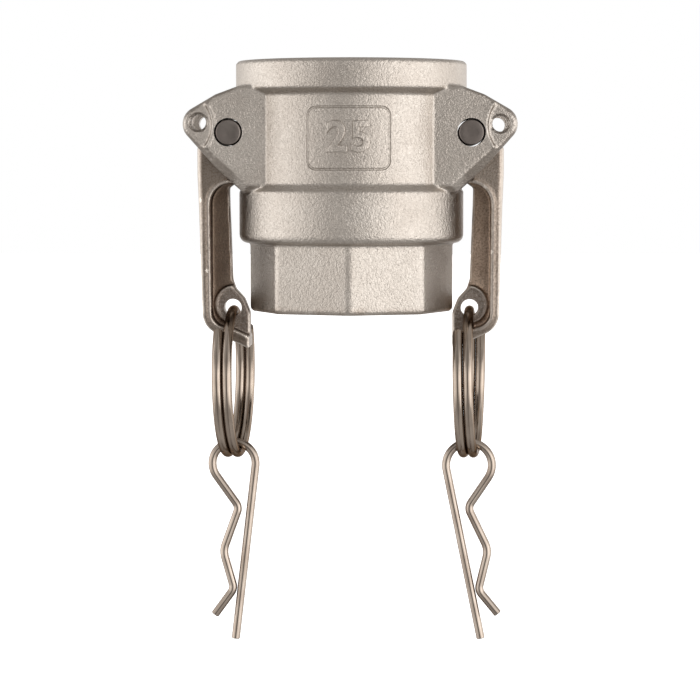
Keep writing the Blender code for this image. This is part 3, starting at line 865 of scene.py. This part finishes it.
# ---------------------------------------------------------------- materials
class Nodes:
    """Short way to build a Principled material's node tree."""

    def __init__(self, name):
        self.material = bpy.data.materials.new(name)
        self.material.use_nodes = True
        self.tree = self.material.node_tree
        self.shader = self.tree.nodes["Principled BSDF"]
        self.space = self.add("ShaderNodeTexCoord").outputs["Object"]

    def add(self, kind, **values):
        node = self.tree.nodes.new(kind)
        for key, value in values.items():
            setattr(node, key, value)
        return node

    def link(self, source, target):
        self.tree.links.new(source, target)

    def noise(self, scale, detail=3.0, roughness=0.55, space=None, stretch=None):
        """Noise whose features are about 1 / scale metres across."""
        node = self.add("ShaderNodeTexNoise")
        node.inputs["Scale"].default_value = scale
        node.inputs["Detail"].default_value = detail
        node.inputs["Roughness"].default_value = roughness
        source = space or self.space
        if stretch:
            mapping = self.add("ShaderNodeMapping")
            mapping.inputs["Scale"].default_value = stretch
            self.link(source, mapping.inputs["Vector"])
            source = mapping.outputs["Vector"]
        self.link(source, node.inputs["Vector"])
        return node.outputs["Fac"]

    def separate(self, source):
        """A vector's X, Y and Z."""
        node = self.add("ShaderNodeSeparateXYZ")
        self.link(source, node.inputs[0])
        return [node.outputs[axis] for axis in "XYZ"]

    def ramp(self, value, colours, start=0.3, end=0.7):
        """Two colours, blended over a value's middle range."""
        node = self.add("ShaderNodeValToRGB")
        stops = zip((start, end), colours)
        for element, (position, colour) in zip(node.color_ramp.elements, stops):
            element.position = position
            element.color = (*colour, 1.0)
        self.link(value, node.inputs["Fac"])
        return node.outputs["Color"]

    def spread(self, value, low, high, start=0.3, end=0.7):
        """Map a value's middle range onto low..high."""
        node = self.add("ShaderNodeMapRange")
        for name, number in (("From Min", start), ("From Max", end),
                             ("To Min", low), ("To Max", high)):
            node.inputs[name].default_value = number
        self.link(value, node.inputs["Value"])
        return node.outputs["Result"]

    def maths(self, operation, *values):
        """One step of arithmetic on values, each a socket or a number."""
        node = self.add("ShaderNodeMath", operation=operation)
        for value, socket in zip(values, node.inputs):
            if hasattr(value, "links"):
                self.link(value, socket)
            else:
                socket.default_value = value
        return node.outputs[0]

    def mix(self, factor, first, second):
        """Blend two colours, each a socket or a constant."""
        node = self.add("ShaderNodeMix", data_type="RGBA")
        self.link(factor, node.inputs[0])
        for socket, value in ((6, first), (7, second)):
            if hasattr(value, "links"):
                self.link(value, node.inputs[socket])
            else:
                node.inputs[socket].default_value = (*value, 1.0)
        return node.outputs[2]

    def bump(self, height, distance, strength, under=None):
        """Surface detail of a distance in metres, laid over the one under it."""
        node = self.add("ShaderNodeBump")
        node.inputs["Distance"].default_value = distance
        node.inputs["Strength"].default_value = strength
        self.link(height, node.inputs["Height"])
        if under:
            self.link(under, node.inputs["Normal"])
        return node.outputs["Normal"]

    def edges(self, start, end, most=1.0):
        """0 on flats and in corners, most on worn outer edges."""
        geometry = self.add("ShaderNodeNewGeometry")
        return self.spread(geometry.outputs["Pointiness"], 0.0, most, start, end)

    def finish(self, colour, roughness, normal, metallic=1.0):
        """Connect the shader and give the material."""
        self.shader.inputs["Metallic"].default_value = metallic
        for value, socket in ((colour, "Base Color"), (roughness, "Roughness"),
                              (normal, "Normal")):
            self.link(value, self.shader.inputs[socket])
        return self.material


def painted_bevel_shade(n, x):
    """Mask of painted shade on the ears' sloping rims, which face up or down."""
    _, _, slope = n.separate(n.add("ShaderNodeTexCoord").outputs["Normal"])
    outside = n.spread(n.maths("ABSOLUTE", x), 0.0, 0.85, 25.0 * MM, 26.5 * MM)
    sloping = n.spread(n.maths("ABSOLUTE", slope), 0.0, 0.85, 0.2, 0.42)
    return n.maths("MULTIPLY", outside, sloping)


def cast_steel():
    """Bead-blasted stainless casting: fine grain, slow brightness drift, brown stains low down,
    and painted shade on the ears' sloping rims.
    """
    n = Nodes("cast_steel")
    drift = n.noise(70.0, 4.0, 0.6)
    grain = n.noise(2700.0, 2.0, 0.6)
    pits = n.noise(1500.0, 3.0, 0.6)
    x, _, z = n.separate(n.space)
    colour = n.ramp(drift, CAST_DRIFT, 0.32, 0.68)
    colour = n.mix(n.spread(grain, 0.0, 0.4, 0.35, 0.65), colour, CAST_GRAIN)
    colour = n.mix(n.spread(pits, 0.0, 0.16, 0.4, 0.6), colour, CAST_PIT)
    low = n.spread(z, 1.0, 0.0, 0.2 * MM, 2.2 * MM)
    patches = n.spread(n.noise(160.0), 0.0, 0.55, 0.46, 0.7)
    colour = n.mix(n.maths("MULTIPLY", low, patches), colour, CAST_STAIN)
    # painted shade on the ears' sloping rims, which face up or down
    colour = n.mix(painted_bevel_shade(n, x), colour, CAST_BEVEL_PAINTED_SHADE)
    colour = n.mix(n.edges(0.52, 0.58, 0.25), colour, CAST_WORN)
    roughness = n.spread(pits, 0.27, 0.39)
    normal = n.bump(grain, 0.23 * MM, 0.6)
    normal = n.bump(pits, 0.31 * MM, 0.5, normal)
    return n.finish(colour, roughness, normal)


def machined_steel():
    """Turned surfaces: fine tool lines round the axis."""
    n = Nodes("machined_steel")
    lines = n.noise(90.0, 4.0, 0.7, stretch=(0.4, 0.4, 60.0))
    colour = n.ramp(n.noise(240.0), MACHINED)
    roughness = n.spread(lines, 0.22, 0.38)
    return n.finish(colour, roughness, n.bump(lines, 0.03 * MM, 0.35))


def painted_edge_highlight(n, x, z):
    """Mask of the painted highlight along the handle's outer edge."""
    out = n.maths("MULTIPLY_ADD", z, -EDGE_LEAN, n.maths("ABSOLUTE", x))
    return n.spread(out, 0.0, 0.75, EDGE_PLACE - 0.75 * MM, EDGE_PLACE - 0.3 * MM)


def arm_steel(side, painted_light):
    """Tumbled casting: brown in the recesses with painted shade that deepens towards the head,
    paler on the raised faces and worn edges, a painted highlight along the handle's outer edge,
    and each arm's recess painted lighter or darker as light falls on it.
    """
    n = Nodes("arm_steel_" + side)
    cloud = n.noise(110.0, 4.0, 0.6)
    grain = n.noise(2300.0, 3.0, 0.6)
    x, y, z = n.separate(n.space)
    depth = n.maths("ABSOLUTE", y)
    flange = n.spread(depth, 0.0, 1.0, BOSS_HALF + 0.2 * MM, BOSS_HALF + 1.2 * MM)
    head = n.spread(z, 0.0, 1.0, 30.0 * MM, 31.0 * MM)
    tip = n.spread(z, 1.0, 0.0, -5.6 * MM, -4.9 * MM)
    raised = n.maths("MAXIMUM", n.maths("MAXIMUM", flange, head), tip)
    # recess colours scaled by each arm's painted light
    dark, light = ([part * painted_light for part in colour] for colour in ARM_RECESS_BROWN_AND_SHADE)
    # recess: real brown tint, darkened as painted shade
    recess = n.ramp(cloud, (dark, light))
    # painted shade, growing towards the head under the ears
    shade = n.spread(z, 0.0, 0.6, 9.0 * MM, 27.0 * MM)
    recess = n.mix(shade, recess, [part * painted_light for part in ARM_PAINTED_SHADE])
    speckle = n.spread(n.noise(3600.0, 2.0), 0.0, 0.8, 0.48, 0.64)
    boss = n.spread(depth, 0.0, 1.0, WEB_HALF + 0.1 * MM, BOSS_HALF - 0.1 * MM)
    recess = n.mix(boss, recess, n.mix(speckle, *ARM_BOSS))
    colour = n.mix(raised, recess, n.ramp(cloud, ARM_FACE))
    colour = n.mix(n.spread(grain, 0.0, 0.5, 0.45, 0.62), colour, ARM_GRAIN)
    colour = n.mix(n.edges(0.513, 0.55), colour, ARM_WORN)
    # painted highlight along the handle's outer edge
    colour = n.mix(painted_edge_highlight(n, x, z), colour, ARM_EDGE_PAINTED_HIGHLIGHT)
    roughness = n.spread(grain, 0.26, 0.4)
    normal = n.bump(grain, 0.12 * MM, 0.55)
    return n.finish(colour, roughness, normal)


def pin_steel():
    """Turned pin, dark end faces with faint facing rings."""
    n = Nodes("pin_steel")
    swirl = n.noise(700.0, 3.0, 0.6)
    colour = n.ramp(n.noise(180.0, 2.0), PIN_TONES)
    return n.finish(colour, n.spread(swirl, 0.3, 0.42), n.bump(swirl, 0.02 * MM, 0.3))


def wire_steel(name, tones, rough):
    """Drawn wire: lengthwise die lines, slow tint changes, browner where seen edge on."""
    n = Nodes(name)
    uv = n.add("ShaderNodeTexCoord").outputs["UV"]
    lines = n.noise(1600.0, 3.0, 0.6, space=uv, stretch=(1.0, 0.03, 1.0))
    colour = n.ramp(n.noise(170.0), tones)
    colour = n.mix(n.spread(lines, 0.0, 0.4, 0.5, 0.66), colour, DIE_LINES)
    n.shader.inputs["Specular Tint"].default_value = (*WIRE_SHEEN, 1.0)
    roughness = n.spread(lines, rough - 0.04, rough + 0.08)
    return n.finish(colour, roughness, n.bump(lines, 0.02 * MM, 0.35))


def gasket_rubber():
    """Black moulded rubber with a faint bloom."""
    n = Nodes("gasket_rubber")
    skin = n.noise(900.0, 4.0, 0.6)
    colour = n.ramp(n.noise(120.0), RUBBER, 0.35)
    return n.finish(colour, n.spread(skin, 0.5, 0.7), n.bump(skin, 0.05 * MM, 0.4), 0.0)


# ---------------------------------------------------------------- studio
def make_camera():
    data = bpy.data.cameras.new("camera")
    data.sensor_width = SENSOR
    data.lens = SENSOR * CAMERA_DISTANCE / FIELD
    data.clip_start = 0.01
    data.clip_end = 50.0
    camera = bpy.data.objects.new("camera", data)
    angle = math.radians(CAMERA_AZIMUTH)
    camera.location = (CAMERA_DISTANCE * math.sin(angle), -CAMERA_DISTANCE * math.cos(angle),
                       CAMERA_HEIGHT)
    aim = Vector(CAMERA_TARGET) - camera.location
    camera.rotation_euler = aim.to_track_quat("-Z", "Y").to_euler()
    bpy.context.scene.collection.objects.link(camera)
    bpy.context.scene.camera = camera


def softbox(name, azimuth):
    """Area light aimed at the coupler; azimuth 0 is the camera's side, positive to its right."""
    data = bpy.data.lights.new(name, "AREA")
    data.shape = "RECTANGLE"
    data.size, data.size_y = SOFTBOX_SIZE
    data.energy = SOFTBOX_WATTS
    light = bpy.data.objects.new(name, data)
    turn, lift = math.radians(azimuth), math.radians(SOFTBOX_ELEVATION)
    place = Vector((math.sin(turn) * math.cos(lift), -math.cos(turn) * math.cos(lift),
                    math.sin(lift))) * SOFTBOX_DISTANCE
    light.location = place + Vector((0.0, 0.0, SOFTBOX_LIFT))
    light.rotation_euler = (-place).to_track_quat("-Z", "Y").to_euler()
    bpy.context.scene.collection.objects.link(light)


def grey(value):
    """A slightly warm grey of the tent's cloth."""
    level = value / GAIN
    return (level, level * WARMTH, level * WARMTH ** 2, 1.0)


def make_world():
    """White backdrop to the camera; for all other rays a grey tent with two soft bright sides."""
    world = bpy.data.worlds.new("studio")
    bpy.context.scene.world = world
    world.use_nodes = True
    tree = world.node_tree
    nodes, links = tree.nodes, tree.links
    towards = nodes.new("ShaderNodeTexCoord").outputs["Generated"]
    turn = nodes.new("ShaderNodeTexGradient")
    turn.gradient_type = "RADIAL"
    links.new(towards, turn.inputs["Vector"])
    walls = nodes.new("ShaderNodeValToRGB")
    while len(walls.color_ramp.elements) < len(WALLS) + 1:
        walls.color_ramp.elements.new(0.5)
    stops = WALLS + [(WALLS[0][0] + 360.0, WALLS[0][1])]
    for element, (azimuth, value) in zip(walls.color_ramp.elements, stops):
        element.position = (azimuth + 90.0) / 360.0
        element.color = grey(value)
    links.new(turn.outputs["Color"], walls.inputs["Fac"])
    split = nodes.new("ShaderNodeSeparateXYZ")
    links.new(towards, split.inputs["Vector"])
    height = nodes.new("ShaderNodeMath")
    height.operation = "ABSOLUTE"
    links.new(split.outputs["Z"], height.inputs[0])
    rise = nodes.new("ShaderNodeMapRange")
    rise.inputs["From Min"].default_value, rise.inputs["From Max"].default_value = CEILING_RISE
    rise.inputs["To Max"].default_value = CEILING_SHARE
    links.new(height.outputs[0], rise.inputs["Value"])
    tent = nodes.new("ShaderNodeMix")
    tent.data_type = "RGBA"
    tent.inputs[7].default_value = grey(CEILING)
    links.new(rise.outputs["Result"], tent.inputs[0])
    links.new(walls.outputs["Color"], tent.inputs[6])
    path = nodes.new("ShaderNodeLightPath")
    mix = nodes.new("ShaderNodeMix")
    mix.data_type = "RGBA"
    mix.inputs[7].default_value = (1.0 / GAIN, 1.0 / GAIN, 1.0 / GAIN, 1.0)
    links.new(path.outputs["Is Camera Ray"], mix.inputs[0])
    links.new(tent.outputs[2], mix.inputs[6])
    links.new(mix.outputs[2], nodes["Background"].inputs["Color"])
    nodes["Background"].inputs["Strength"].default_value = GAIN
    bpy.context.scene.view_settings.view_transform = "Standard"


def make_floor():
    """Plain white floor, well below the hanging coupling."""
    bm = bmesh.new()
    bmesh.ops.create_grid(bm, x_segments=1, y_segments=1, size=20.0)
    floor = new_object("floor", to_mesh("floor", bm))
    floor.location.z = FLOOR_LEVEL
    material = bpy.data.materials.new("floor_white")
    material.use_nodes = True
    shader = material.node_tree.nodes["Principled BSDF"]
    shader.inputs["Base Color"].default_value = (0.9, 0.9, 0.9, 1.0)
    shader.inputs["Roughness"].default_value = 0.9
    shader.inputs["Emission Color"].default_value = (1.0, 1.0, 1.0, 1.0)
    shader.inputs["Emission Strength"].default_value = 1.0
    floor.data.materials.append(material)
    floor.visible_glossy = False
    floor.visible_diffuse = False


def place(piece, body, node, slot):
    """Tie a piece to its body and hide the CAD node it replaces; slot is not used."""
    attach(piece, body)
    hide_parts(node)


def main():
    make_camera()
    make_world()
    for name, azimuth in SOFTBOXES.items():
        softbox(name, azimuth)
    make_floor()
    machined = machined_steel()
    place(make_body(cast_steel(), machined), "body", "coupler_body", "cast_steel")
    place(make_gasket(gasket_rubber()), "body", "gasket", "gasket_rubber")
    pin = pin_steel()
    ring = wire_steel("ring_wire", RING_TONES, 0.12)
    clip = wire_steel("clip_wire", CLIP_TONES, 0.13)
    for side, sign in SIDES.items():
        place(make_pin(side, sign, pin), "body", "pivot_pin_" + side, "pin_steel")
        # each arm gets its own material, its recess painted lighter or darker as light falls on it
        arm = make_arm(side, sign, arm_steel(side, ARM_PAINTED_LIGHT[side]), machined)
        place(arm, "arm_" + side, "cam_arm_" + side, "arm_steel")
        place(make_ring(side, sign, ring), "ring_" + side, "pull_ring_" + side, "ring_wire")
        place(make_clip(side, sign, clip), "clip_" + side, "safety_clip_" + side, "clip_wire")


main()
